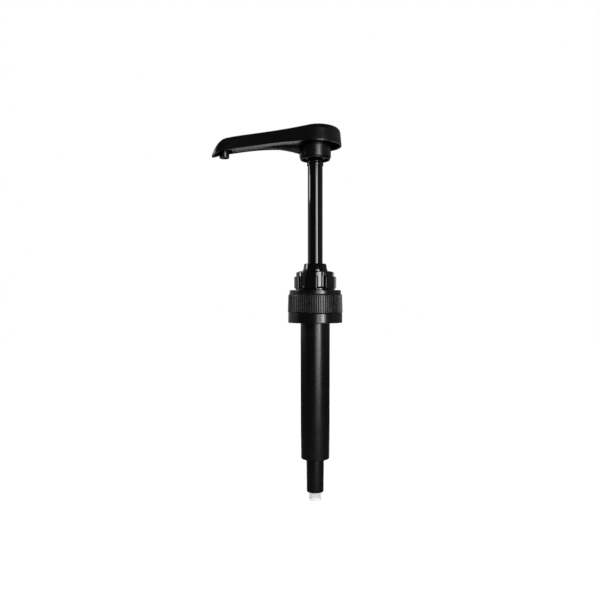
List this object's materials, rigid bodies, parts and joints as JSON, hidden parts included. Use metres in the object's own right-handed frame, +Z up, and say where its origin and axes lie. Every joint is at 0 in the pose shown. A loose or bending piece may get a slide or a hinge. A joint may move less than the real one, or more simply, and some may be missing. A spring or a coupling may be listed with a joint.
{
  "type": "condiment pump dispenser",
  "caption": "Long-stroke condiment pump: paddle lever head with down-turned nozzle, hollow stem, lugged guide nut, ribbed screw closure, spring piston cylinder, ball valves and dip tube.",
  "frame": {"origin": "on the pump's axis, at the underside of the neck gasket, where it meets the bottle's mouth", "axes": "+Z up along the pump's axis, the spout points along -X at rest, +Y across the lever"},
  "size_m": [0.1051, 0.044, 0.2984],
  "materials": {
    "satin_black": "satin moulded polypropylene",
    "gloss_black": "polished moulded polypropylene",
    "ribbed_black": "semi-matte moulded polypropylene",
    "seal_grey": "soft food-grade rubber",
    "seal_white": "waxy low-density polyethylene",
    "natural_plastic": "translucent natural polyethylene",
    "steel": "bright stainless steel"
  },
  "bodies": {
    "pump_body": {"cylinder": "satin_black", "inlet_fitting": "satin_black", "guide_nut": "gloss_black", "stem_guide": "gloss_black", "stem_wiper": "seal_grey", "wiper_retainer": "natural_plastic", "nut_gasket": "seal_white", "neck_gasket": "seal_white", "return_spring": "steel", "inlet_ball_cage": "natural_plastic", "dip_tube": "natural_plastic"},
    "piston": {"piston_carrier": "natural_plastic", "piston_seal": "seal_white", "piston_guide_ring": "seal_white", "spring_washer": "steel"},
    "lever": {"pump_head": "satin_black", "channel_cover": "gloss_black", "stem": "gloss_black", "head_o_ring": "seal_grey", "stem_o_ring": "seal_grey", "outlet_ball_stop": "natural_plastic"},
    "closure": {"closure_cap": "ribbed_black"},
    "inlet_valve": {"inlet_ball": "steel"},
    "outlet_valve": {"outlet_ball": "steel"}
  },
  "joints": [
    {"name": "pump_stroke", "type": "slide", "parent": "pump_body", "child": "piston", "axis": [0, 0, -1], "range_m": [0, 0.078], "stiffness_N_per_m": 150, "springref_m": -0.05, "deforming": ["return_spring"]},
    {"name": "head_swivel", "type": "hinge", "parent": "piston", "child": "lever", "pos_m": [0, 0, 0], "axis": [0, 0, 1], "continuous": true},
    {"name": "cap_spin", "type": "hinge", "parent": "pump_body", "child": "closure", "pos_m": [0, 0, 0], "axis": [0, 0, 1], "continuous": true},
    {"name": "inlet_ball_lift", "type": "slide", "parent": "pump_body", "child": "inlet_valve", "axis": [0, 0, 1], "range_m": [0, 0.003]},
    {"name": "outlet_ball_lift", "type": "slide", "parent": "piston", "child": "outlet_valve", "axis": [0, 0, 1], "range_m": [0, 0.003]}
  ]
}
